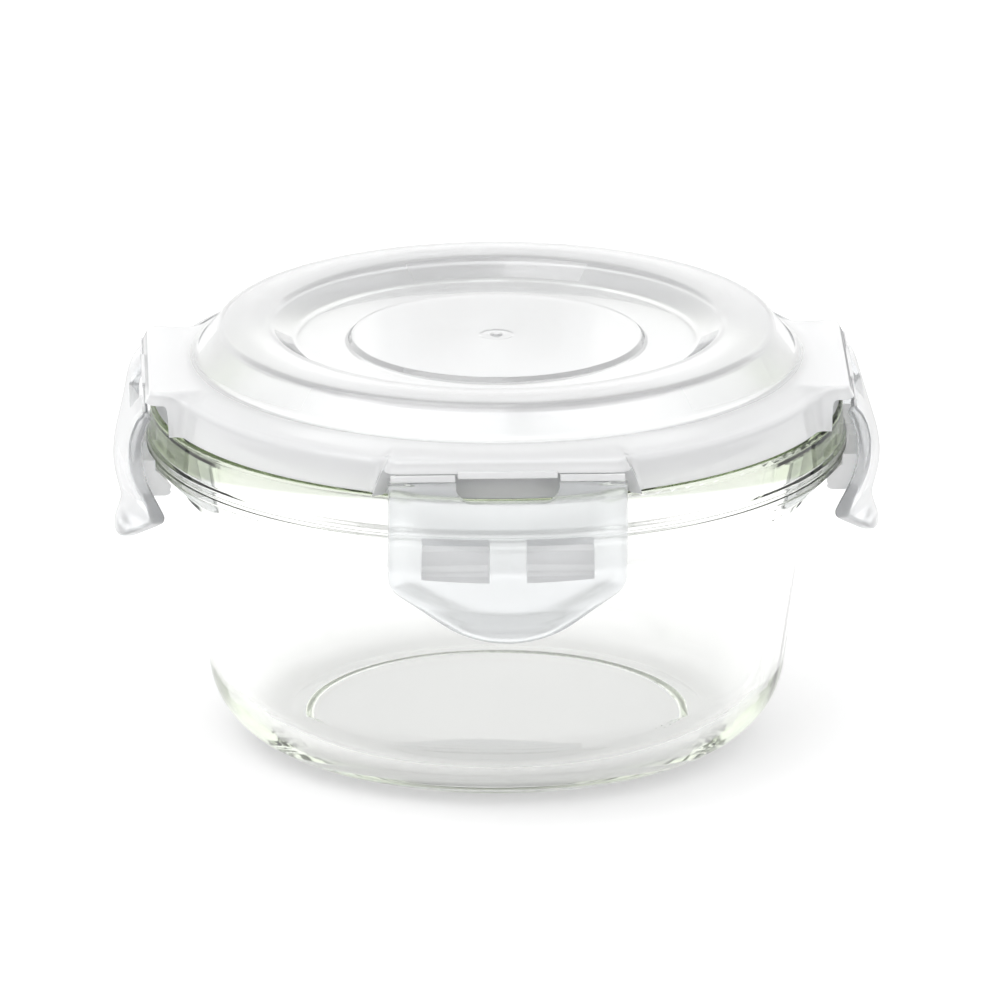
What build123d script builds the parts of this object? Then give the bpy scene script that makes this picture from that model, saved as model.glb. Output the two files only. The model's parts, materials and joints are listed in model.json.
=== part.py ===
from build123d import *
from math import sqrt
import os

# A round glass food container with a clear snap lid, held down by four latches.
# Millimetres, +Z up, origin at the centre of the foot. The front latch faces -Y.

# ---- driving dimensions -------------------------------------------------------------------

ridge_radius = 72.1  # locking ridge around the glass
ridge_bottom = 61.0
ridge_top = 64.3
collar_top = 70.6  # shoulder of the glass that the skirt sits on
mouth_height = 73.2  # top of the glass lip that the gasket seals on
overall_height = 87.4
latch_width = 48.3
lid_wall = 1.9

# ---- glass ----------------------------------------------------------------------------------

foot_radius = 57.4  # where the wall line would meet the table without its rounded corner
foot_corner = 16.4
wall_slope = 0.142  # outward lean of the wall, radius per height
wall_thickness = 3.8
floor_height = 4.6
inner_corner = 13.0
punt_height = 0.9
punt_radius = 38.0
collar_radius = 71.5
lip_radius = 68.3
groove_depth = 0.3

# ---- lid --------------------------------------------------------------------------------------

skirt_top_radius = 69.3
skirt_top = 77.9
skirt_bottom = 70.9
skirt_bottom_radius = 70.8
skirt_inner_radius = 69.0
seal_roof = 76.6  # roof of the gasket channel
plug_radius = 63.2
plug_bottom = 71.2
plug_thickness = 1.6
ring_outer = 57.0  # raised ring
ring_inner = 46.2
ring_foot = 61.8
ring_foot_height = 80.9
floor_radius = 41.0  # recess inside the raised ring
floor_top = 83.2
disc_radius = 29.8  # slightly raised disc in the middle of the recess
disc_top = 84.1
gate_radius = 3.5  # moulding gate: a shallow dimple with a nub

ear_top = 79.4
ear_reach = 71.8  # straight outer edge of an ear, from the axis
ear_bottom = 76.9
ear_bottom_reach = 73.05  # its front face leans outwards on the way down
ear_edge = 0.9  # height of its rounded upper edge
ear_flare = 5.0
ear_corner = 2.0
ear_wall = 1.5
plate_bottom = 78.0  # underside of an ear's flat plate, above the space under the lid

# ---- film hinges and latches -----------------------------------------------------------------

film_thickness = 0.6
film_gap = 0.05  # running clearance at both ends of a film
film_pivot_height = 76.55  # where a film bends under its ear
latch_pivot_height = 75.6  # where a latch bends on its film
pivot_reach = ear_bottom_reach - film_thickness / 2
window_width = 20.9
window_bottom = 72.0
window_corner = 3.0
strip_margin = 0.5  # how far a film strip stays inside the latch's side
strip_gap = 0.15  # how far it stays outside the window
tongue_gap = 0.35  # room on each side of the tongue between the films
tongue_wall = 1.1

latch_skin = 2.0
latch_rim = 1.8  # stiffening rim around the inner face
latch_depth = 3.2
latch_top = latch_pivot_height - film_thickness / 2 - film_gap
latch_corner = 4.5
window_rail = 2.0  # full-depth rail left below the window
lip_height = 42.7  # lowest point of the finger lip
lip_rise = 0.54  # slope of the two lower edges
lip_round = 27.8

hook_width = 13.5
hook_spacing = 21.0  # centre to centre of a latch's two hook blocks
hook_bottom = 55.4
hook_reach = 69.4  # radius that the hooks reach in to, under the ridge
hook_clearance = 0.15
hook_start = 65.7  # a hook block is drawn from inside the ridge to within the latch's skin
hook_root = 76.1

quarter_turns = {"right": 0, "back": 90, "left": 180, "front": 270}


def section(corners):
    """A filled outline given as corners of (across, up, corner radius)."""
    with BuildSketch() as outline:
        with BuildLine():
            Polyline([(across, up) for across, up, _ in corners], close=True)
        make_face()
        for across, up, corner in corners:
            if corner > 0:
                fillet(outline.vertices().sort_by_distance((across, up, 0))[0], corner)
    return outline.sketch


def wall_radius(height):
    """Outer radius of the plain glass wall at a height."""
    return foot_radius + wall_slope * height


# The ridge's underside rises outwards at 45 degrees from the wall.
underside_start = (foot_radius - ridge_radius + ridge_bottom) / (1 - wall_slope)

# ---- glass bowl ----------------------------------------------------------------------------------

bowl_section = [
    (0, punt_height, 0),
    (punt_radius, punt_height, 2.0),
    (punt_radius + 1.5, 0, 1.0),
    (foot_radius, 0, foot_corner),
    (wall_radius(underside_start), underside_start, 5.0),
    (ridge_radius, ridge_bottom, 0.7),
    (ridge_radius, ridge_top - 0.4, 0.5),
    (collar_radius, ridge_top + 0.2, 0.5),
    (collar_radius - 0.2, collar_top, 0.8),
    (lip_radius, collar_top, 0.4),
    (lip_radius, mouth_height, 0.9),
    (wall_radius(mouth_height) - wall_thickness, mouth_height, 0.9),
    (wall_radius(floor_height) - wall_thickness, floor_height, inner_corner),
    (0, floor_height, 0),
]

with BuildPart() as glass_bowl:
    with BuildSketch(Plane.XZ):
        add(section(bowl_section))
    revolve(axis=Axis.Z)
    # A fine groove splits the ridge into two beads.
    with BuildSketch(Plane.XZ):
        with Locations((ridge_radius + groove_depth, (ridge_bottom + ridge_top) / 2)):
            Circle(2 * groove_depth)
    revolve(axis=Axis.Z, mode=Mode.SUBTRACT)

# ---- gasket: a ring of I section between the glass lip and the lid ---------------------------

gasket_inner = plug_radius + 0.3
gasket_outer = skirt_inner_radius - 0.3
gasket_bottom = mouth_height + 0.05
gasket_top = seal_roof - 0.05
gasket_flange = 0.9
gasket_waist = 1.1  # how far the web stands back from the flanges

gasket_section = [
    (gasket_inner, gasket_top, 0.2),
    (gasket_outer, gasket_top, 0.2),
    (gasket_outer, gasket_top - gasket_flange, 0.2),
    (gasket_outer - gasket_waist, gasket_top - gasket_flange, 0.2),
    (gasket_outer - gasket_waist, gasket_bottom + gasket_flange, 0.2),
    (gasket_outer - 0.4, gasket_bottom + gasket_flange, 0.2),
    (gasket_outer - 0.4, gasket_bottom, 0.2),
    (gasket_inner + 0.5, gasket_bottom, 0.2),
    (gasket_inner + 0.5, gasket_bottom + gasket_flange, 0.2),
    (gasket_inner + gasket_waist, gasket_bottom + gasket_flange, 0.2),
    (gasket_inner + gasket_waist, gasket_top - gasket_flange, 0.2),
    (gasket_inner, gasket_top - gasket_flange, 0.2),
]

with BuildPart() as gasket:
    with BuildSketch(Plane.XZ):
        add(section(gasket_section))
    revolve(axis=Axis.Z)

# ---- lid ---------------------------------------------------------------------------------------

ring_crown = 0.4  # the raised ring's top is slightly domed
ring_middle = (ring_inner + ring_outer) / 2
ring_roof = overall_height - ring_crown - lid_wall

lid_section = [
    (0, disc_top, 0),
    (disc_radius, disc_top, 0.4),
    (disc_radius + 0.6, floor_top, 0.4),
    (floor_radius, floor_top, 2.0),
    (ring_inner, overall_height - ring_crown, 2.0),
    (ring_middle, overall_height, 20.0),
    (ring_outer, overall_height - ring_crown, 1.6),
    (ring_foot, ring_foot_height, 2.5),
    (skirt_top_radius, skirt_top, 1.0),
    (skirt_bottom_radius, skirt_bottom, 0.3),
    (skirt_inner_radius + 0.1, skirt_bottom, 0.3),
    (skirt_inner_radius, seal_roof, 0.3),
    (plug_radius, seal_roof, 0.3),
    (plug_radius - 0.1, plug_bottom, 0.5),
    (plug_radius - plug_thickness, plug_bottom, 0.5),
    (plug_radius - plug_thickness - 0.2, ring_foot_height - 1.35 * lid_wall, 0.8),
    (ring_outer - 0.5 * lid_wall, ring_roof, 0.8),
    (ring_inner + 0.8, ring_roof, 1.5),
    (floor_radius + 1.0, floor_top - lid_wall, 1.5),
    (disc_radius + 1.2, floor_top - lid_wall, 0.4),
    (disc_radius + 0.4, disc_top - lid_wall, 0.4),
    (0, disc_top - lid_wall, 0),
]

ear_front = [
    (ear_reach - ear_wall, plate_bottom, 0),
    (ear_reach - ear_wall, ear_top - ear_edge, 0),
    (ear_reach, ear_top - ear_edge, 0),
    (ear_bottom_reach, ear_bottom, 0.2),
    (ear_bottom_reach - ear_wall, ear_bottom, 0.2),
]

tongue_top = ear_bottom + 0.4  # inside the ear's front wall
tongue_front = [
    (ear_bottom_reach - 0.2 - tongue_wall, tongue_top, 0),
    (ear_bottom_reach - 0.2, tongue_top, 0),
    (ear_bottom_reach, latch_pivot_height, 0.2),
    (ear_bottom_reach - tongue_wall, latch_pivot_height, 0.2),
]


def is_tip(corner):
    """Whether a corner of the lid's plan is one of the eight outer corners of the ears."""
    return max(abs(corner.X), abs(corner.Y)) > ear_reach - 0.01


with BuildSketch() as lid_plan:
    Circle(skirt_top_radius)
    Rectangle(2 * ear_reach, latch_width)
    Rectangle(latch_width, 2 * ear_reach)
    fillet(lid_plan.vertices().filter_by(lambda corner: not is_tip(corner)), ear_flare)
    fillet(lid_plan.vertices().filter_by(is_tip), ear_corner)

with BuildPart() as lid:
    with BuildSketch(Plane.XZ):
        add(section(lid_section))
    revolve(axis=Axis.Z)

    # Flank walls of the four ears, flaring into the round skirt.
    with BuildSketch(Plane.XY.offset(ear_bottom)):
        add(lid_plan.sketch)
        Circle(skirt_top_radius - 0.6, mode=Mode.SUBTRACT)
        with PolarLocations(ear_reach - 3.5, 4):
            Rectangle(7.0 - 2 * ear_wall, latch_width - 2 * ear_wall, mode=Mode.SUBTRACT)
    extrude(amount=plate_bottom - ear_bottom)

    # Flat plates of the ears, from the foot of the raised ring outwards.
    with BuildSketch(Plane.XY.offset(plate_bottom)):
        add(lid_plan.sketch)
        Circle(skirt_top_radius - 0.6, mode=Mode.SUBTRACT)
        with PolarLocations((ring_foot + skirt_top_radius) / 2 - 0.3, 4):
            Rectangle(skirt_top_radius - ring_foot, latch_width)
    extrude(amount=ear_top - plate_bottom)

    # Leaning front wall of each ear, and the tongue that fills the gap between its films.
    for turn in quarter_turns.values():
        ear_side = Plane.XZ.rotated((0, 0, turn))
        with BuildSketch(ear_side):
            add(section(ear_front))
        extrude(amount=latch_width / 2 - ear_corner / 3, both=True)
        with BuildSketch(ear_side):
            add(section(tongue_front))
        extrude(amount=window_width / 2 - tongue_gap, both=True)

    # Moulding gate in the middle.
    with BuildSketch(Plane.XY.offset(disc_top)):
        Circle(gate_radius)
        Circle(gate_radius - 0.5, mode=Mode.SUBTRACT)
    extrude(amount=-0.3, mode=Mode.SUBTRACT)
    with BuildSketch(Plane.XY.offset(disc_top)):
        Circle(1.0)
    extrude(amount=0.4, taper=10)

# ---- film hinge: two strips with rounded ends, left and right of the window ------------------

film_inner_edge = window_width / 2 + strip_gap
film_outer_edge = latch_width / 2 - strip_margin
film_length = film_outer_edge - film_inner_edge

with BuildPart() as hinge:
    with BuildSketch(Plane.XZ.offset(film_inner_edge)):
        with Locations((pivot_reach, (film_pivot_height + latch_pivot_height) / 2)):
            SlotCenterToCenter(film_pivot_height - latch_pivot_height, film_thickness, rotation=90)
    extrude(amount=film_length)
    mirror(about=Plane.XZ)

# ---- latch ----------------------------------------------------------------------------------------

# Height, reach of the outer face from the axis, and how far its sides curve back in plan.
latch_levels = [
    (latch_top, ear_bottom_reach, 0.02),
    (73.2, 74.7, 0.15),
    (69.5, 76.4, 0.6),
    (66.0, 77.7, 1.7),
    (62.5, 78.7, 3.1),
    (59.5, 79.0, 4.4),
    (57.0, 78.8, 5.4),
    (54.5, 78.3, 6.2),
    (52.0, 77.7, 6.7),
    (49.5, 77.5, 7.0),
    (46.8, 78.2, 7.1),
    (44.8, 78.8, 7.2),
    (lip_height - 0.4, 78.6, 7.3),
]


def bowed_band(reach, bow, front, back):
    """Plan section of a latch: a band bowed outwards, between two depths behind its outer face."""
    half = latch_width / 2 + 0.2
    with BuildSketch() as band:
        with BuildLine():
            outer = ThreePointArc((reach - bow - front, -half), (reach - front, 0), (reach - bow - front, half))
            inner = ThreePointArc((reach - bow - back, -half), (reach - back, 0), (reach - bow - back, half))
            Line(outer @ 0, inner @ 0)
            Line(outer @ 1, inner @ 1)
        make_face()
    return band.sketch


def shield_outline(inset, top):
    """Front outline of a latch, an upright band with a rounded point below, drawn inset from its edge."""
    half = latch_width / 2 - inset
    point = lip_height - lip_round * (sqrt(1 + lip_rise**2) - 1) + inset * sqrt(1 + lip_rise**2)
    side = point + lip_rise * half
    corner = max(latch_corner - inset, 1.0)
    corners = [
        (-half, top, 0),
        (-half, side, corner),
        (0, point, lip_round - inset),
        (half, side, corner),
        (half, top, 0),
    ]
    return section(corners)


# An upright plane just inside the latch, seen from outside, and the depth that passes through all of it.
latch_plane = Plane(origin=(ridge_radius - 16, 0, 0), x_dir=(0, 1, 0), z_dir=(1, 0, 0))
through_depth = 34

with BuildPart() as latch:
    for height, reach, bow in latch_levels:
        with BuildSketch(Plane.XY.offset(height)):
            add(bowed_band(reach, bow, 0, latch_depth))
    loft()
    with BuildSketch(latch_plane):
        add(shield_outline(0, latch_top + 5))
    extrude(amount=through_depth, mode=Mode.INTERSECT)

with BuildPart() as latch_pocket:
    for height, reach, bow in latch_levels:
        with BuildSketch(Plane.XY.offset(height)):
            add(bowed_band(reach, bow, latch_skin, latch_depth + 4))
    loft()
    with BuildSketch(latch_plane):
        add(shield_outline(latch_rim, window_bottom - window_rail))
    extrude(amount=through_depth, mode=Mode.INTERSECT)

# Everything of the bowl that a hook must stay clear of.
with BuildPart() as hook_clearance_body:
    with BuildSketch(Plane.XZ):
        add(section(
            [
                (0, hook_bottom - 5, 0),
                (hook_reach, hook_bottom - 5, 0),
                (hook_reach, ridge_bottom - (ridge_radius - hook_reach) - hook_clearance * sqrt(2), 0),
                (ridge_radius, ridge_bottom - hook_clearance * sqrt(2), 0),
                (ridge_radius + hook_clearance + 0.1, ridge_bottom, 0),
                (ridge_radius + hook_clearance + 0.1, ridge_top, 0),
                (0, ridge_top, 0),
            ]
        ))
    revolve(axis=Axis.Z)

with BuildPart() as hooks:
    with BuildSketch(Plane.XY.offset(hook_bottom)):
        for side in (-1, 1):
            with Locations(((hook_start + hook_root) / 2, side * hook_spacing / 2)):
                Rectangle(hook_root - hook_start, hook_width)
    extrude(amount=ridge_bottom - hook_bottom)
    add(hook_clearance_body.part, mode=Mode.SUBTRACT)

with BuildPart() as snap_latch:
    add(latch.part)
    add(latch_pocket.part, mode=Mode.SUBTRACT)
    add(hooks.part)
    # Slot between the two hinge films.
    with BuildSketch(latch_plane):
        add(section(
            [
                (-window_width / 2, latch_top + 2, 0),
                (-window_width / 2, window_bottom, window_corner),
                (window_width / 2, window_bottom, window_corner),
                (window_width / 2, latch_top + 2, 0),
            ]
        ))
    extrude(amount=through_depth, mode=Mode.SUBTRACT)

# ---- write the nodes -----------------------------------------------------------------------------

nodes = {"glass_bowl": glass_bowl.part, "lid": lid.part, "gasket": gasket.part}
for side, turn in quarter_turns.items():
    nodes["hinge_" + side] = hinge.part.rotate(Axis.Z, turn)
    nodes["latch_" + side] = snap_latch.part.rotate(Axis.Z, turn)

os.makedirs("parts", exist_ok=True)
for name, solid in nodes.items():
    solid.label = name
    export_step(solid, "parts/" + name + ".step")
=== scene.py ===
"""The looks of a round glass food container with a clear snap lid and four latches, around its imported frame.

Everything is in metres, in the frame's own axes: +Z up, the foot on z = 0, the front latch towards -Y.
Shapes are worked out in millimetres from the frame's boxes and scaled by MM when they become meshes.
"""

import json
import math

import bmesh
import bpy
from mathutils import Matrix, Vector

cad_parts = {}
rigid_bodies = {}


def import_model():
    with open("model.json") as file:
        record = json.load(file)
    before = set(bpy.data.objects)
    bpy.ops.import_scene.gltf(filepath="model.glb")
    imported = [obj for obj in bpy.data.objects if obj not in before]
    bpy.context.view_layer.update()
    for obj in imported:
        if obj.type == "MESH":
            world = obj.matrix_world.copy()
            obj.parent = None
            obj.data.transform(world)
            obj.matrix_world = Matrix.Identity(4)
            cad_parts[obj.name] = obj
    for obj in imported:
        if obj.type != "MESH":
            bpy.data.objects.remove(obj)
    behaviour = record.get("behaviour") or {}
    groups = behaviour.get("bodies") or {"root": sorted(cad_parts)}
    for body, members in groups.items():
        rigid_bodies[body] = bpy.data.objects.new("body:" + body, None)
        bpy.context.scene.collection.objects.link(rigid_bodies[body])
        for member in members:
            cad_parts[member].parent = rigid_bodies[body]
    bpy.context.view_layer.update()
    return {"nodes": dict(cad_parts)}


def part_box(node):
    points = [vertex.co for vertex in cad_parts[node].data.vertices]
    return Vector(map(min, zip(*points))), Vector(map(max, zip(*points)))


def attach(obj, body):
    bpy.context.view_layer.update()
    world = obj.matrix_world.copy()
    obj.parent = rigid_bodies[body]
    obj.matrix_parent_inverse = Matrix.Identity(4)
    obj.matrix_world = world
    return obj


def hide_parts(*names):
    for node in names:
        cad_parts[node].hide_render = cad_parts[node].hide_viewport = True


MM = 0.001

for leftover in list(bpy.data.objects):
    bpy.data.objects.remove(leftover)

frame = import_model()


# ---- sizes taken from the frame, in millimetres ---------------------------------------------------


def node_box(node):
    """Lowest and highest corner of a CAD node, in millimetres."""
    low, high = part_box(node)
    return low / MM, high / MM


bowl_low, bowl_high = node_box("glass_bowl")
lid_low, lid_high = node_box("lid")
latch_low, latch_high = node_box("latch_right")
film_low, film_high = node_box("hinge_right")
gasket_low, gasket_high = node_box("gasket")

RIDGE_RADIUS = bowl_high.x
RIDGE_TOP = 64.3
RIDGE_BOTTOM = 61.0
UNDERSIDE_START = 53.5  # where the ridge's sloping underside leaves the wall
WALL_MIDDLE = 63.5  # a radius inside the glass wall, between its two faces

SKIRT_BOTTOM = lid_low.z
SKIRT_TOP = SKIRT_BOTTOM + 7.0
LID_TOP = lid_high.z
RING_FOOT = (61.8, LID_TOP - 6.5)  # radius and height where the raised ring meets the shoulder
SHOULDER_RADIUS = 63.5

LATCH_HALF = latch_high.y
LATCH_TOP = latch_high.z
LATCH_TIP = latch_low.z
EAR_BOTTOM = film_high.z + 0.05
EAR_FOOT_REACH = film_high.x
TURNS = {"right": 0, "back": 90, "left": 180, "front": 270}


# ---- small geometry helpers ------------------------------------------------------------------------


def smooth(t):
    """Eased step from 0 to 1."""
    t = max(0.0, min(1.0, t))
    return t * t * (3 - 2 * t)


def mix(a, b, t):
    return a + (b - a) * t


def cubic(start, slope_in, end, slope_out, span, t):
    """Value at t, from 0 to 1 over a span, of the cubic with these end values and slopes."""
    h00 = 2 * t**3 - 3 * t**2 + 1
    h10 = t**3 - 2 * t**2 + t
    h01 = -2 * t**3 + 3 * t**2
    h11 = t**3 - t**2
    return h00 * start + h10 * span * slope_in + h01 * end + h11 * span * slope_out


def rounded(corners, closed=True, steps=6):
    """Points along an outline whose corners are (across, up, corner radius)."""
    points = []
    count = len(corners)
    for index, (across, up, radius) in enumerate(corners):
        here = Vector((across, up))
        at_end = not closed and index in (0, count - 1)
        if radius == 0 or at_end:
            points.append(here)
            continue
        before = (Vector(corners[index - 1][:2]) - here).normalized()
        after = (Vector(corners[(index + 1) % count][:2]) - here).normalized()
        half = before.angle(after) / 2
        centre = here + (before + after).normalized() * (radius / math.sin(half))
        start = here + before * (radius / math.tan(half)) - centre
        turn = start.angle_signed(here + after * (radius / math.tan(half)) - centre)
        for step in range(steps + 1):
            spun = start.copy()
            spun.rotate(Matrix.Rotation(-turn * step / steps, 2))
            points.append(centre + spun)
    return points


def refine_shading(obj, sharp):
    """Smooth shading, with creases kept where faces meet at more than the sharp angle."""
    obj.data.shade_smooth()
    obj.data.set_sharp_from_angle(angle=math.radians(sharp))


def mesh_object(name, points, faces):
    """A smooth-shaded mesh object from points in millimetres."""
    mesh = bpy.data.meshes.new(name)
    mesh.from_pydata([tuple(Vector(p) * MM) for p in points], [], faces)
    mesh.validate()
    mesh.update()
    obj = bpy.data.objects.new(name, mesh)
    bpy.context.scene.collection.objects.link(obj)
    refine_shading(obj, 40)
    return obj


def rings_to_faces(rows, columns, loop_rows=False):
    """Quads joining consecutive rows of points, each row a closed ring of the same number of columns."""
    faces = []
    for row in range(rows if loop_rows else rows - 1):
        here, following = row * columns, (row + 1) % rows * columns
        for column in range(columns):
            aside = (column + 1) % columns
            faces.append((here + column, here + aside, following + aside, following + column))
    return faces


def lathe(name, outline, segments=256):
    """A ring turned about the Z axis from a closed outline of (radius, height) that stays off the axis."""
    points = []
    for across, up in outline:
        for step in range(segments):
            angle = 2 * math.pi * step / segments
            points.append((across * math.cos(angle), across * math.sin(angle), up))
    return mesh_object(name, points, rings_to_faces(len(outline), segments, loop_rows=True))


def face_outwards(obj):
    """Turns every face of a closed mesh to the outside."""
    shell = bmesh.new()
    shell.from_mesh(obj.data)
    bmesh.ops.recalc_face_normals(shell, faces=shell.faces)
    shell.to_mesh(obj.data)
    shell.free()


def apply_modifiers(obj):
    """Replaces an object's mesh by the result of its modifiers."""
    graph = bpy.context.evaluated_depsgraph_get()
    result = bpy.data.meshes.new_from_object(obj.evaluated_get(graph))
    obj.modifiers.clear()
    obj.data = result


def combine(obj, other, operation):
    """Joins another closed mesh to obj, or cuts it away, and removes the other."""
    for closed in (obj, other):
        face_outwards(closed)
    modifier = obj.modifiers.new("combine", "BOOLEAN")
    modifier.operation = operation
    modifier.solver = "EXACT"
    modifier.object = other
    apply_modifiers(obj)
    bpy.data.objects.remove(other)
    return obj


def rounded_block(name, low, high, bevel):
    """A box with rounded edges, in millimetres."""
    corners = [
        (x, y, z) for x in (low[0], high[0]) for y in (low[1], high[1]) for z in (low[2], high[2])
    ]
    faces = [(0, 1, 3, 2), (4, 6, 7, 5), (0, 4, 5, 1), (2, 3, 7, 6), (0, 2, 6, 4), (1, 5, 7, 3)]
    obj = mesh_object(name, corners, faces)
    modifier = obj.modifiers.new("bevel", "BEVEL")
    modifier.width = bevel * MM
    modifier.segments = 3
    modifier.limit_method = "NONE"
    apply_modifiers(obj)
    return obj


# ---- materials -------------------------------------------------------------------------------------


class NodeTree:
    """Nodes of one material or world being put together. A value is the output of a node."""

    def __init__(self, tree):
        self.nodes = tree.nodes
        self.links = tree.links

    def add(self, kind, **values):
        """A new node, with its inputs or its own settings given by name."""
        node = self.nodes.new(kind)
        for key, value in values.items():
            if key in node.inputs:
                node.inputs[key].default_value = value
            else:
                setattr(node, key, value)
        return node

    def link(self, source, target):
        self.links.new(source, target)

    def calculate(self, operation, *terms):
        """Maths on up to three terms, each a number or a value."""
        node = self.add("ShaderNodeMath", operation=operation)
        for socket, term in zip(node.inputs, terms):
            if isinstance(term, (int, float)):
                socket.default_value = term
            else:
                self.link(term, socket)
        return node.outputs[0]

    def ease(self, value, start, end, low=0.0, high=1.0):
        """From low at the start to high at the end, eased in between."""
        node = self.add("ShaderNodeMapRange", interpolation_type="SMOOTHSTEP")
        for name, number in (("From Min", start), ("From Max", end), ("To Min", low), ("To Max", high)):
            node.inputs[name].default_value = number
        self.link(value, node.inputs["Value"])
        return node.outputs["Result"]

    def spread(self, value, low, high):
        """Maps 0..1 to low..high."""
        node = self.add("ShaderNodeMapRange")
        node.inputs["To Min"].default_value = low
        node.inputs["To Max"].default_value = high
        self.link(value, node.inputs["Value"])
        return node.outputs["Result"]


class Material(NodeTree):
    """A material with one Principled shader."""

    def __init__(self, name):
        self.material = bpy.data.materials.new(name)
        self.material.use_nodes = True
        super().__init__(self.material.node_tree)
        self.shader = self.nodes["Principled BSDF"]
        self.output = self.nodes["Material Output"]
        self.place = self.add("ShaderNodeTexCoord").outputs["Object"]

    def set(self, **values):
        """Fixed numbers or colours for the shader, named with _ for each space."""
        for key, value in values.items():
            self.shader.inputs[key.replace("_", " ")].default_value = value

    def drive(self, name, value):
        """Lets a value decide one of the shader's inputs."""
        self.link(value, self.shader.inputs[name])

    def noise(self, scale, detail=3.0):
        """Smooth random value between 0 and 1, scale in waves per metre."""
        node = self.add("ShaderNodeTexNoise", Scale=scale, Detail=detail)
        self.link(self.place, node.inputs["Vector"])
        return node.outputs["Fac"]

    def noise_along_ring(self):
        """Noise drawn out into level streaks around the Z axis."""
        stretch = self.add("ShaderNodeVectorMath", operation="MULTIPLY")
        stretch.inputs[1].default_value = (1, 1, 22)
        self.link(self.place, stretch.inputs[0])
        node = self.add("ShaderNodeTexNoise", Scale=55.0, Detail=3.0)
        self.link(stretch.outputs["Vector"], node.inputs["Vector"])
        return node.outputs["Fac"]

    def height(self):
        """Height of the place being shaded, in metres."""
        parts = self.add("ShaderNodeSeparateXYZ")
        self.link(self.place, parts.inputs[0])
        return parts.outputs["Z"]

    def height_zone(self, start, end):
        """0 at the start height and 1 at the end height, in millimetres."""
        return self.ease(self.height(), start * MM, end * MM)

    def radius_zone(self, start, end):
        """0 inside the start radius and 1 outside the end radius, in millimetres."""
        flat = self.add("ShaderNodeVectorMath", operation="MULTIPLY")
        flat.inputs[1].default_value = (1, 1, 0)
        self.link(self.place, flat.inputs[0])
        length = self.add("ShaderNodeVectorMath", operation="LENGTH")
        self.link(flat.outputs["Vector"], length.inputs[0])
        return self.ease(length.outputs["Value"], start * MM, end * MM)

    def edge_on(self):
        """0 where the surface faces the viewer and 1 where it is seen edge-on."""
        return self.add("ShaderNodeLayerWeight", Blend=0.5).outputs["Facing"]

    def from_outside(self):
        """1 for light that meets the surface from outside the piece, 0 from within."""
        return self.spread(self.add("ShaderNodeNewGeometry").outputs["Backfacing"], 1.0, 0.0)

    def blend(self, amount, first, second):
        """Colour going from the first to the second; each is a colour or a value."""
        node = self.add("ShaderNodeMix", data_type="RGBA")
        self.link(amount, node.inputs["Factor"])
        for socket, color in ((node.inputs[6], first), (node.inputs[7], second)):
            if isinstance(color, tuple):
                socket.default_value = (*color, 1)
            else:
                self.link(color, socket)
        return node.outputs[2]

    def outline(self, start, end, color, painted_shade_color, coat):
        """Paints shade on the outside where it is seen edge-on, for its dark silhouette lines, and dulls it
        there; returns how much of the gloss is kept.
        """
        edge = self.calculate("MULTIPLY", self.ease(self.edge_on(), start, end), self.from_outside())
        self.drive("Base Color", self.blend(edge, color, painted_shade_color))
        self.drive("Specular IOR Level", self.spread(edge, 0.5, 0.0))
        self.drive("Coat Weight", self.spread(edge, coat, 0.0))
        return self.spread(edge, 1.0, 0.0)

    def flatten_normal(self, amount):
        """The surface's normal, turned level by the given amount for light that meets it from outside."""
        flattened = self.calculate("MULTIPLY", amount, self.from_outside())
        scale = self.add("ShaderNodeCombineXYZ", X=1.0, Y=1.0)
        self.link(self.spread(flattened, 1.0, 0.0), scale.inputs["Z"])
        level = self.add("ShaderNodeVectorMath", operation="MULTIPLY")
        self.link(self.add("ShaderNodeNewGeometry").outputs["Normal"], level.inputs[0])
        self.link(scale.outputs["Vector"], level.inputs[1])
        unit = self.add("ShaderNodeVectorMath", operation="NORMALIZE")
        self.link(level.outputs["Vector"], unit.inputs[0])
        return unit.outputs["Vector"]

    def bump(self, height, strength, distance, normal=None):
        """Fine unevenness of the surface, on top of the given normal if there is one."""
        node = self.add("ShaderNodeBump", Strength=strength, Distance=distance)
        self.link(height, node.inputs["Height"])
        if normal:
            self.link(normal, node.inputs["Normal"])
        self.drive("Normal", node.outputs["Normal"])

    def tint_inside(self, color, density):
        """Light passing through thick material takes on a colour."""
        volume = self.add("ShaderNodeVolumeAbsorption", Color=(*color, 1), Density=density)
        self.link(volume.outputs["Volume"], self.output.inputs["Volume"])


WEDGE_DROP = 12.0  # how far down the collar's green reaches when it is seen edge-on, in millimetres


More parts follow.
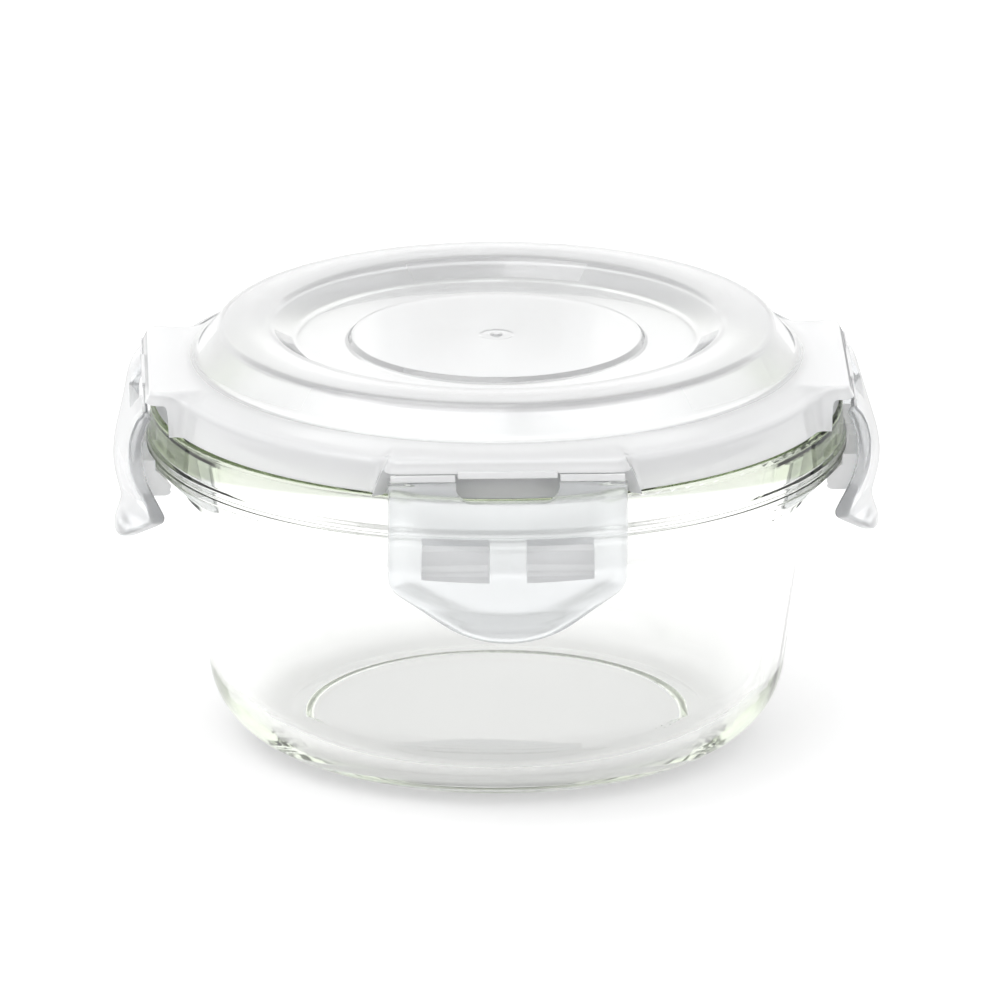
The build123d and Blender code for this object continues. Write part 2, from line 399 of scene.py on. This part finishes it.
def glass_material():
    """Clear pressed glass: faintly wavy, green where it is thick, with painted grey shade where it is seen
    edge-on.
    """
    glass = Material("glass")
    glass.set(IOR=1.5, Transmission_Weight=1.0)
    glass.drive("Roughness", glass.spread(glass.noise(60), 0.0, 0.03))
    glass.tint_inside((0.56, 0.74, 0.30), 3.5)

    # The ridge's sloping underside is shaded like the upright wall, so that it stays as clear.
    below_ridge = glass.height_zone(RIDGE_BOTTOM, RIDGE_BOTTOM - 0.3)
    above_wall = glass.height_zone(UNDERSIDE_START - 0.3, UNDERSIDE_START)
    outside = glass.radius_zone(WALL_MIDDLE - 0.5, WALL_MIDDLE + 0.5)
    underside = glass.calculate("MULTIPLY", glass.calculate("MULTIPLY", below_ridge, above_wall), outside)
    glass.bump(glass.noise(22, detail=1.0), 0.25, 0.0008, glass.flatten_normal(underside))

    # Seen edge-on, the glass is painted greyer: painted shade for its dark silhouette lines. Its thick collar
    # above the ridge shows a streaky green wedge, which grows deeper in colour and height the more edge-on it
    # is seen.
    edge_on = glass.edge_on()
    painted_edge_shade = glass.blend(glass.ease(edge_on, 0.86, 1.0), (1, 1, 1), (0.72, 0.75, 0.72))
    green = glass.blend(glass.ease(edge_on, 0.3, 0.62), (0.40, 0.44, 0.34), (0.30, 0.41, 0.16))
    lowered = glass.calculate("MULTIPLY_ADD", edge_on, WEDGE_DROP * MM, glass.height())
    wedge_foot = (RIDGE_TOP + WEDGE_DROP / 2) * MM
    wedge = glass.ease(lowered, wedge_foot, wedge_foot + 1.2 * MM)
    collar = glass.calculate("MULTIPLY", glass.height_zone(RIDGE_TOP, RIDGE_TOP + 0.6), wedge)
    streaks = glass.spread(glass.noise_along_ring(), 0.75, 1.0)
    glass.drive("Base Color", glass.blend(glass.calculate("MULTIPLY", collar, streaks), painted_edge_shade, green))
    return glass.material


def lid_material():
    """Glossy plastic, slightly cloudy on the raised ring and frosted on the shoulder, ears and skirt, with
    painted shade where it is seen edge-on.
    """
    plastic = Material("lid_plastic")
    plastic.set(IOR=1.46, Coat_Roughness=0.02)
    # Painted shade: the outside turns dark grey where it is seen edge-on, for the lid's dark silhouette lines.
    gloss = plastic.outline(0.76, 0.98, (0.945, 0.95, 0.955), (0.14, 0.145, 0.15), coat=1.0)
    outer = plastic.radius_zone(RING_FOOT[0] - 1.0, SHOULDER_RADIUS + 1.5)
    clearness = plastic.spread(outer, 0.72, 0.38)
    plastic.drive("Transmission Weight", plastic.calculate("MULTIPLY", clearness, gloss))
    frost = plastic.spread(outer, 0.12, 0.36)
    plastic.drive("Roughness", plastic.calculate("MULTIPLY_ADD", plastic.noise(90), 0.04, frost))
    plastic.bump(plastic.noise(35, detail=2.0), 0.1, 0.0003)
    return plastic.material


def latch_material():
    """Milky translucent plastic, softly polished, with painted shade where it is seen edge-on."""
    milky = Material("latch_plastic")
    milky.set(IOR=1.46, Coat_Roughness=0.04)
    # Painted shade: the outside turns near black where it is seen edge-on, for the latches' dark silhouette
    # lines.
    gloss = milky.outline(0.74, 1.0, (0.90, 0.915, 0.93), (0.06, 0.062, 0.065), coat=0.6)
    milky.drive("Transmission Weight", milky.spread(gloss, 0.0, 0.8))
    milky.drive("Roughness", milky.spread(milky.noise(60), 0.12, 0.18))
    milky.bump(milky.noise(30, detail=1.0), 0.1, 0.0003)
    return milky.material


def hook_material():
    """The latches' plastic where it is a solid block: cloudier, with a faint painted glow standing in for
    light that scatters inside.
    """
    block = Material("latch_block")
    block.set(Base_Color=(0.98, 0.98, 0.98, 1), IOR=1.46, Transmission_Weight=0.2)
    # Painted glow: a faint white emission stands in for light scattered inside the block.
    block.set(Emission_Color=(1, 1, 1, 1), Emission_Strength=0.08)
    block.drive("Roughness", block.spread(block.noise(300), 0.35, 0.45))
    return block.material


def film_material():
    """The same plastic as the latches, whitened where it bends."""
    film = Material("film")
    film.set(Base_Color=(0.96, 0.965, 0.97, 1), IOR=1.46, Transmission_Weight=0.4)
    film.drive("Roughness", film.spread(film.noise(500), 0.25, 0.35))
    return film.material


def silicone_material():
    """Soft translucent white silicone."""
    silicone = Material("silicone")
    silicone.set(Base_Color=(0.86, 0.87, 0.88, 1), IOR=1.41, Transmission_Weight=0.25)
    silicone.drive("Roughness", silicone.spread(silicone.noise(200), 0.42, 0.55))
    silicone.bump(silicone.noise(900, detail=4.0), 0.08, 0.0002)
    return silicone.material


def floor_material():
    """Plain white studio floor."""
    floor = Material("floor")
    floor.set(Base_Color=(0.76, 0.76, 0.76, 1))
    floor.set(Emission_Color=(1, 1, 1, 1), Emission_Strength=0.38)
    floor.drive("Roughness", floor.spread(floor.noise(3), 0.75, 0.85))
    return floor.material


def finish_piece(obj, body, node):
    """Gives a new piece its body and hides the CAD node it stands for."""
    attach(obj, body)
    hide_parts(node)


def repaint(node, material):
    """Gives a CAD node that keeps its own shape a better material."""
    obj = frame["nodes"][node]
    obj.data.materials.clear()
    obj.data.materials.append(material)
    refine_shading(obj, 35)


# ---- lid -------------------------------------------------------------------------------------------

SKIRT_TOP_RADIUS = 69.3
SKIRT_LEAN = 0.214  # how far the skirt's face moves out for each millimetre down
SKIRT_FOOT_REACH = SKIRT_TOP_RADIUS + 1.33
SKIRT_ROUNDING = 1.8
SHOULDER_SLOPE = (SKIRT_TOP - RING_FOOT[1]) / (SKIRT_TOP_RADIUS - RING_FOOT[0])
SHOULDER_HEIGHT = RING_FOOT[1] + SHOULDER_SLOPE * (SHOULDER_RADIUS - RING_FOOT[0])
LID_WALL = 1.9

EAR_TOP = EAR_BOTTOM + 2.5
EAR_REACH = EAR_FOOT_REACH - 1.25
EAR_LEAN = 0.5
EAR_CORNER = 2.4
EAR_FLARE = 6.2  # radius in plan where an ear's side runs into the skirt
EAR_ROUNDING = 0.8
EAR_WALL = 1.5
TONGUE_HALF = 10.1


def lid_plan():
    """Plan outline of the lid: each column's point, outward normal and how far it belongs to an ear."""
    flare_y = LATCH_HALF + EAR_FLARE
    flare_x = math.sqrt((SKIRT_TOP_RADIUS + EAR_FLARE) ** 2 - flare_y**2)
    half = []
    for step in range(12):
        half.append((EAR_REACH, (LATCH_HALF - EAR_CORNER) * step / 12, 1.0, 0.0, 1.0))
    for step in range(8):
        angle = math.radians(90) * step / 8
        x = EAR_REACH - EAR_CORNER + EAR_CORNER * math.cos(angle)
        y = LATCH_HALF - EAR_CORNER + EAR_CORNER * math.sin(angle)
        half.append((x, y, math.cos(angle), math.sin(angle), 1.0))
    last = math.atan2(-flare_y, -flare_x)
    for step in range(16):
        angle = mix(math.radians(-90), last, step / 16)
        x = flare_x + EAR_FLARE * math.cos(angle)
        y = flare_y + EAR_FLARE * math.sin(angle)
        half.append((x, y, -math.cos(angle), -math.sin(angle), smooth(1 - step / 16)))
    first = math.atan2(flare_y, flare_x)
    for step in range(17):
        angle = mix(first, math.radians(45), step / 16)
        x, y = SKIRT_TOP_RADIUS * math.cos(angle), SKIRT_TOP_RADIUS * math.sin(angle)
        half.append((x, y, math.cos(angle), math.sin(angle), 0.0))
    mirrored = [(x, -y, nx, -ny, ear) for x, y, nx, ny, ear in reversed(half[1:-1])]
    columns = []
    for quarter in range(4):
        c, s = round(math.cos(quarter * math.pi / 2)), round(math.sin(quarter * math.pi / 2))
        for x, y, nx, ny, ear in mirrored + half:
            columns.append((x * c - y * s, x * s + y * c, nx * c - ny * s, nx * s + ny * c, ear))
    return columns


def lid_top_profile():
    """Radius and height along the top of the lid: gate mark, middle disc, recess, raised ring, shoulder."""
    disc = LID_TOP - 3.25
    recess = LID_TOP - 4.2
    crown = LID_TOP - 0.4
    return rounded(
        [
            (0.9, disc + 0.3, 0),
            (1.4, disc - 0.1, 0.3),
            (3.2, disc - 0.15, 0.3),
            (3.7, disc, 0.3),
            (29.8, disc, 0.5),
            (30.6, recess + 0.05, 0.5),
            (41.2, recess, 3.2),
            (46.4, crown, 2.4),
            (51.6, LID_TOP, 20.0),
            (57.0, crown, 1.8),
            (*RING_FOOT, 2.6),
            (SHOULDER_RADIUS, SHOULDER_HEIGHT, 0),
        ],
        closed=False,
        steps=8,
    )


def lid_under_profile():
    """Radius and height along the underside, from the plug inwards to the middle."""
    under_ring = LID_TOP - 2.3
    under_recess = LID_TOP - 6.1
    under_disc = LID_TOP - 5.2
    return rounded(
        [
            (61.4, RING_FOOT[1] - 1.9, 0),
            (61.3, RING_FOOT[1] - 2.5, 0.5),
            (56.0, under_ring, 1.5),
            (47.0, under_ring, 2.4),
            (42.0, under_recess, 2.4),
            (31.0, under_recess, 0.4),
            (30.2, under_disc, 0.4),
            (1.0, under_disc, 0),
        ],
        closed=False,
        steps=6,
    )


def lid_edge_rows(column):
    """Points of one column from the shoulder over the rounded edge, down the wall and back up inside it."""
    x, y, nx, ny, ear = column
    rounding = mix(SKIRT_ROUNDING, EAR_ROUNDING, smooth(1.4 * ear - 0.2))
    beyond_skirt = math.hypot(x, y) - SKIRT_TOP_RADIUS + 1.2
    wall = EAR_WALL if ear > 0.99 else max(EAR_WALL, beyond_skirt)
    top = mix(SKIRT_TOP, EAR_TOP, ear)
    lean = mix(SKIRT_LEAN, EAR_LEAN, ear)
    bottom = mix(SKIRT_BOTTOM, EAR_BOTTOM, smooth(3 * ear - 2))
    slope_out = mix(SHOULDER_SLOPE, -0.04, ear)
    inner = Vector((x, y)).normalized() * SHOULDER_RADIUS
    outer = Vector((x - nx * rounding, y - ny * rounding))
    span = (outer - inner).length
    rows = []
    for step in range(1, 9):
        t = step / 8
        flat = inner.lerp(outer, t)
        rows.append((flat.x, flat.y, cubic(SHOULDER_HEIGHT, SHOULDER_SLOPE, top, slope_out, span, t)))
    profile = []
    for step in range(1, 6):
        angle = math.radians(90) * step / 5
        profile.append((rounding * (math.sin(angle) - 1), top - rounding * (1 - math.cos(angle))))
    drop = top - rounding - bottom
    foot = lean * drop
    ceiling = top - LID_WALL
    inside = max(ceiling - 0.5, bottom + 0.4)
    profile += [
        (foot * 0.5, bottom + drop * 0.5),
        (lean * (drop - 0.3), bottom + 0.3),
        (foot - 0.1, bottom + 0.08),
        (foot - 0.3, bottom),
        (foot - wall + 0.3, bottom),
        (foot - wall, bottom + 0.3),
        (lean * (top - rounding - inside) - wall, inside),
        (-wall - 0.6, max(ceiling, bottom + 0.5)),
    ]
    return rows + [(x + nx * offset, y + ny * offset, height) for offset, height in profile]


def make_lid_cap():
    """Top of the lid with its ears and outer wall, as one closed shell."""
    columns = lid_plan()
    directions = [Vector(column[:2]).normalized() for column in columns]
    edges = [lid_edge_rows(column) for column in columns]
    rows = [[(d.x * across, d.y * across, up) for d in directions] for across, up in lid_top_profile()]
    rows += [[edge[level] for edge in edges] for level in range(len(edges[0]))]
    rows += [[(d.x * across, d.y * across, up) for d in directions] for across, up in lid_under_profile()]
    points = [point for row in rows for point in row]
    count = len(columns)
    faces = rings_to_faces(len(rows), count)
    faces.append(tuple(range(count)))
    faces.append(tuple((len(rows) - 1) * count + i for i in range(count)))
    return mesh_object("lid_shell", points, faces)


def make_skirt():
    """Ring around the glass lip: skirt, roof over the gasket and plug flange inside the mouth."""
    foot = SKIRT_BOTTOM + 0.02
    skirt_inner = gasket_high.x + 0.3
    plug_outer = gasket_high.x - 5.5
    plug_foot = SKIRT_BOTTOM + 0.3
    seal_roof = gasket_high.z + 0.05
    outline = [
        (SKIRT_FOOT_REACH, foot, 0.3),
        (skirt_inner + 0.1, foot, 0.3),
        (skirt_inner, seal_roof, 0.3),
        (plug_outer, seal_roof, 0.3),
        (plug_outer - 0.1, plug_foot, 0.5),
        (plug_outer - 1.6, plug_foot, 0.5),
        (plug_outer - 1.8, RING_FOOT[1] - 1.2, 0.2),
        (SKIRT_TOP_RADIUS - 0.3, SKIRT_TOP - 0.9, 0.2),
    ]
    return lathe("lid_skirt", rounded(outline, steps=4))


def make_tongue(turn):
    """The part of an ear that reaches down between its two films."""
    tongue = rounded_block(
        "tongue",
        (EAR_FOOT_REACH - 1.2, -TONGUE_HALF, LATCH_TOP + 0.8),
        (EAR_FOOT_REACH + 0.02, TONGUE_HALF, EAR_BOTTOM + 0.6),
        0.2,
    )
    tongue.data.transform(Matrix.Rotation(math.radians(turn), 4, "Z"))
    return tongue


def make_lid():
    """The whole lid as one shell."""
    lid = combine(make_lid_cap(), make_skirt(), "UNION")
    for turn in TURNS.values():
        lid = combine(lid, make_tongue(turn), "UNION")
    refine_shading(lid, 38)
    lid.data.materials.append(lid_material())
    finish_piece(lid, "lid", "lid")


# ---- latch ----------------------------------------------------------------------------------------

WIDEST_HEIGHT = 59.5

# Height, reach of the outer face from the axis, and how far its sides curve back in plan.
LATCH_LEVELS = [
    (LATCH_TOP, EAR_FOOT_REACH, 0.0),
    (73.2, 74.7, 0.15),
    (69.5, 76.4, 0.6),
    (66.0, 77.7, 1.7),
    (62.5, 78.7, 3.1),
    (WIDEST_HEIGHT, 79.0, 4.4),
    (57.0, 78.8, 5.4),
    (54.5, 78.3, 6.2),
    (52.0, 77.7, 6.7),
    (49.5, 77.5, 7.0),
    (46.8, 78.2, 7.1),
    (44.8, 78.8, 7.2),
    (LATCH_TIP - 0.4, 78.6, 7.3),
]
LIP_RISE = 0.54  # slope of the two lower edges
LIP_ROUND = 27.8  # radius of the lip's tip
LATCH_CORNER = 4.5
LATCH_SKIN = 2.0
LATCH_RIM = 3.0  # depth of the stiffened rim
HINGE_DEPTH = 1.1
OUTER_ROUNDING = 0.9
INNER_ROUNDING = 0.7
WINDOW_HALF = 10.45
WINDOW_BOTTOM = LATCH_TOP - 3.7
WINDOW_CORNER = 3.0

HOOK_WIDTH = 13.5
HOOK_MIDDLE = 10.5
HOOK_BOTTOM = 55.4
HOOK_TOP = 63.0
HOOK_REACH = 69.4  # radius that the hooks reach in to, under the ridge
HOOK_CLEARANCE = 0.15
HOOK_ROOT = 0.15  # how far a hook block goes into the flap's skin
HOOK_RIB = 0.25


def along_levels(height, item):
    """Smooth value at a height between the latch's levels, which run downwards."""
    levels = LATCH_LEVELS
    last = len(levels) - 2
    index = next((i for i in range(last + 1) if height >= levels[i + 1][0]), last)
    before = levels[max(index - 1, 0)]
    start, end = levels[index], levels[index + 1]
    after = levels[min(index + 2, len(levels) - 1)]
    span = end[0] - start[0]
    slope_in = (end[item] - before[item]) / (end[0] - before[0])
    slope_out = (after[item] - start[item]) / (after[0] - start[0])
    return cubic(start[item], slope_in, end[item], slope_out, span, (height - start[0]) / span)


def lip_edge(across):
    """Height of the latch's lower edge at a distance from its middle."""
    across = abs(across)
    tilt = math.atan(LIP_RISE)
    if across < LIP_ROUND * math.sin(tilt):
        return LATCH_TIP + LIP_ROUND - math.sqrt(LIP_ROUND**2 - across**2)
    point = LATCH_TIP - LIP_ROUND * (1 / math.cos(tilt) - 1)
    centre_x = LATCH_HALF - LATCH_CORNER
    centre_z = point + LIP_RISE * centre_x + LATCH_CORNER / math.cos(tilt)
    if across < centre_x + LATCH_CORNER * math.sin(tilt):
        return point + LIP_RISE * across
    reach = min(LATCH_CORNER, across - centre_x)
    return centre_z - math.sqrt(max(0.0, LATCH_CORNER**2 - reach**2))


def rounding_loss(edge_gap, rounding):
    """How far a rounded edge falls back at a distance from it."""
    if edge_gap >= rounding:
        return 0.0
    return rounding - math.sqrt(rounding**2 - (rounding - edge_gap) ** 2)


def latch_skin_point(across, height, edge_gap):
    """Outer and inner reach of the flap at a place on its front, given the gap to its nearest free edge."""
    reach = along_levels(height, 1) - along_levels(height, 2) * (across / LATCH_HALF) ** 2
    depth = mix(LATCH_RIM, LATCH_SKIN, smooth((edge_gap - 0.8) / 5.0))
    depth = mix(HINGE_DEPTH, depth, smooth((LATCH_TOP - height) / 1.6))
    outer = reach - rounding_loss(edge_gap, OUTER_ROUNDING)
    inner = reach - depth + rounding_loss(edge_gap, INNER_ROUNDING)
    return outer, inner


def skin_inner_reach(across, height):
    """Reach of the flap's inner face away from its edges."""
    return latch_skin_point(across, height, LATCH_HALF)[1]


def clustered(count, border):
    """Positions from 0 to 1, packed closely within border of both ends."""
    positions = []
    for step in range(count + 1):
        t = step / count
        if t < 0.2:
            positions.append(border * (1 - math.cos(t / 0.2 * math.pi / 2)))
        elif t > 0.8:
            positions.append(1 - border * (1 - math.cos((1 - t) / 0.2 * math.pi / 2)))
        else:
            positions.append(mix(border, 1 - border, (t - 0.2) / 0.6))
    return positions


def make_flap():
    """A latch facing +X without its hooks: bowed shield with a stiffened rim and a window at its hinge."""
    across_steps = [mix(-LATCH_HALF, LATCH_HALF, t) for t in clustered(80, 0.07)]
    down_steps = clustered(80, 0.1)
    gap_to_edge = math.cos(math.atan(LIP_RISE))
    outer_points, inner_points = [], []
    for across in across_steps:
        bottom = lip_edge(across)
        for down in down_steps:
            height = mix(LATCH_TOP, bottom, down)
            gap = max(0.0, min(LATCH_HALF - abs(across), (height - bottom) * gap_to_edge))
            outer, inner = latch_skin_point(across, height, gap)
            outer_points.append((outer, across, height))
            inner_points.append((inner, across, height))
    columns, rows = len(across_steps), len(down_steps)
    count = columns * rows
    faces = []
    for column in range(columns - 1):
        for row in range(rows - 1):
            a = column * rows + row
            faces.append((a, a + rows, a + rows + 1, a + 1))
            faces.append((count + a, count + a + 1, count + a + rows + 1, count + a + rows))
    border = [column * rows for column in range(columns)]
    border += [(columns - 1) * rows + row for row in range(1, rows)]
    border += [column * rows + rows - 1 for column in reversed(range(columns - 1))]
    border += list(reversed(range(1, rows - 1)))
    for index, vertex in enumerate(border):
        following = border[(index + 1) % len(border)]
        faces.append((vertex, following, count + following, count + vertex))
    flap = mesh_object("flap", outer_points + inner_points, faces)
    return combine(flap, window_cutter(), "DIFFERENCE")


def window_cutter():
    """A prism through the flap with rounded lower corners."""
    above = LATCH_TOP + 2
    outline = rounded(
        [
            (-WINDOW_HALF, above, 0),
            (-WINDOW_HALF, WINDOW_BOTTOM, WINDOW_CORNER),
            (WINDOW_HALF, WINDOW_BOTTOM, WINDOW_CORNER),
            (WINDOW_HALF, above, 0),
        ],
        steps=10,
    )
    count = len(outline)
    ends = (RIDGE_RADIUS - 12, RIDGE_RADIUS + 18)
    points = [(reach, across, up) for reach in ends for across, up in outline]
    faces = [tuple(range(count)), tuple(range(count, 2 * count))]
    faces += [(i, (i + 1) % count, count + (i + 1) % count, count + i) for i in range(count)]
    return mesh_object("window", points, faces)


def hook_section(across):
    """Reach and height around one hook block at a distance from the latch's middle."""
    heights = (HOOK_BOTTOM, WIDEST_HEIGHT, HOOK_TOP)
    root = HOOK_ROOT + max(skin_inner_reach(across, height) for height in heights)
    front = math.sqrt(HOOK_REACH**2 - across**2)
    ridge = math.sqrt(RIDGE_RADIUS**2 - across**2)
    top = RIDGE_BOTTOM - 2 * HOOK_CLEARANCE
    front_top = top - (RIDGE_RADIUS - HOOK_REACH)
    return [
        (root, HOOK_BOTTOM),
        (front + 1.2, HOOK_BOTTOM),
        (front + 0.3, HOOK_BOTTOM + 0.3),
        (front, HOOK_BOTTOM + 0.9),
        (front + HOOK_RIB, HOOK_BOTTOM + 1.3),
        (front, HOOK_BOTTOM + 1.7),
        (front, front_top - 0.3),
        (front + 0.25, front_top),
        (ridge - 0.2, top - 0.25),
        (ridge + 0.4, top + 0.1),
        (ridge + 0.45, HOOK_TOP),
        (root, HOOK_TOP),
    ]


def make_hook(middle):
    """One hook block: it reaches in under the ridge, and its top follows the ridge's sloping underside."""
    columns = 16
    points = []
    for step in range(columns + 1):
        across = middle + HOOK_WIDTH * (step / columns - 0.5)
        section = hook_section(across)
        points += [(reach, across, height) for reach, height in section]
    count = len(section)
    faces = []
    for step in range(columns):
        for item in range(count):
            following = (item + 1) % count
            a, b = step * count, (step + 1) * count
            faces.append((a + item, a + following, b + following, b + item))
    faces.append(tuple(range(count)))
    faces.append(tuple(columns * count + i for i in range(count)))
    return mesh_object("hook", points, faces)


def on_hook(face):
    """Whether a face of the flap belongs to one of its hook blocks."""
    reach, across, height = face.center / MM
    in_height = HOOK_BOTTOM - 0.1 < height < HOOK_TOP + 0.1
    in_width = abs(abs(across) - HOOK_MIDDLE) < HOOK_WIDTH / 2 + 0.1
    return in_height and in_width and reach < skin_inner_reach(across, height) - 0.1


def make_latches():
    """The four latches, each the same flap turned to its side."""
    flap = make_flap()
    for middle in (-HOOK_MIDDLE, HOOK_MIDDLE):
        flap = combine(flap, make_hook(middle), "UNION")
    flap.data.materials.clear()
    flap.data.materials.append(latch_material())
    flap.data.materials.append(hook_material())
    for face in flap.data.polygons:
        face.material_index = int(on_hook(face))
    refine_shading(flap, 38)
    for side, turn in TURNS.items():
        mesh = flap.data.copy()
        mesh.transform(Matrix.Rotation(math.radians(turn), 4, "Z"))
        obj = bpy.data.objects.new("flap_" + side, mesh)
        bpy.context.scene.collection.objects.link(obj)
        finish_piece(obj, "latch_" + side, "latch_" + side)
    bpy.data.objects.remove(flap)


# ---- studio ----------------------------------------------------------------------------------------


def make_floor():
    """A wide plain floor under the foot."""
    half = 40.0
    corners = [(-half, -half, 0), (half, -half, 0), (half, half, 0), (-half, half, 0)]
    mesh = bpy.data.meshes.new("floor")
    mesh.from_pydata(corners, [], [(0, 1, 2, 3)])
    floor = bpy.data.objects.new("floor", mesh)
    floor.location.z = -0.0002
    floor.data.materials.append(floor_material())
    bpy.context.scene.collection.objects.link(floor)


def make_world():
    """White studio light all around, with darker flags low on both sides and in front."""
    world = bpy.data.worlds.new("studio")
    world.use_nodes = True
    bpy.context.scene.world = world
    light_level = 1.2
    sky = NodeTree(world.node_tree)
    direction = sky.add("ShaderNodeSeparateXYZ")
    sky.link(sky.add("ShaderNodeTexCoord").outputs["Generated"], direction.inputs[0])
    sideways = sky.calculate("ABSOLUTE", direction.outputs["X"])
    low_down = sky.ease(direction.outputs["Z"], 0.25, 0.6, 1.0, 0.0)
    at_sides = sky.ease(sideways, 0.62, 0.97, 0.0, 0.62)
    in_front = sky.ease(direction.outputs["Y"], 0.0, -0.8, 0.0, 0.7)
    flags = sky.calculate("MULTIPLY", low_down, sky.calculate("MAXIMUM", at_sides, in_front))
    level = sky.calculate("SUBTRACT", light_level, sky.calculate("MULTIPLY", flags, light_level))
    background = sky.nodes["Background"]
    background.inputs["Color"].default_value = (1, 1, 1, 1)
    sky.link(level, background.inputs["Strength"])


def make_light():
    """One broad soft light from above left."""
    light = bpy.data.lights.new("key", "SUN")
    light.energy = 0.75
    light.angle = math.radians(50)
    key = bpy.data.objects.new("key", light)
    key.rotation_euler = (math.radians(14), math.radians(-20), 0)
    bpy.context.scene.collection.objects.link(key)


def make_camera():
    """A long lens looking down on the front, slightly from the left."""
    elevation, azimuth = math.radians(17.7), math.radians(-1.8)
    distance = 3.30
    level = math.cos(elevation)
    right = Vector((math.cos(azimuth), math.sin(azimuth), 0))
    back = Vector((math.sin(azimuth) * level, -math.cos(azimuth) * level, math.sin(elevation)))
    target = Vector((0, 0, 0.0483)) + right * 0.00072
    data = bpy.data.cameras.new("camera")
    data.sensor_width = 36.0
    data.lens = 576.0
    data.clip_end = 200.0
    camera = bpy.data.objects.new("camera", data)
    camera.location = target + back * distance
    camera.rotation_mode = "QUATERNION"
    camera.rotation_quaternion = (-back).to_track_quat("-Z", "Y")
    bpy.context.scene.collection.objects.link(camera)
    bpy.context.scene.camera = camera


def set_quality():
    """Light paths deep enough for clear parts, and clean whites."""
    scene = bpy.context.scene
    scene.cycles.max_bounces = 80
    scene.cycles.transmission_bounces = 80
    scene.cycles.glossy_bounces = 24
    scene.cycles.caustics_refractive = True
    scene.cycles.caustics_reflective = False
    scene.cycles.sample_clamp_indirect = 4.0
    scene.cycles.use_denoising = True
    scene.view_settings.view_transform = "Standard"


repaint("glass_bowl", glass_material())
repaint("gasket", silicone_material())
film = film_material()
for side in TURNS:
    repaint("hinge_" + side, film)
make_lid()
make_latches()
make_floor()
make_world()
make_light()
make_camera()
set_quality()
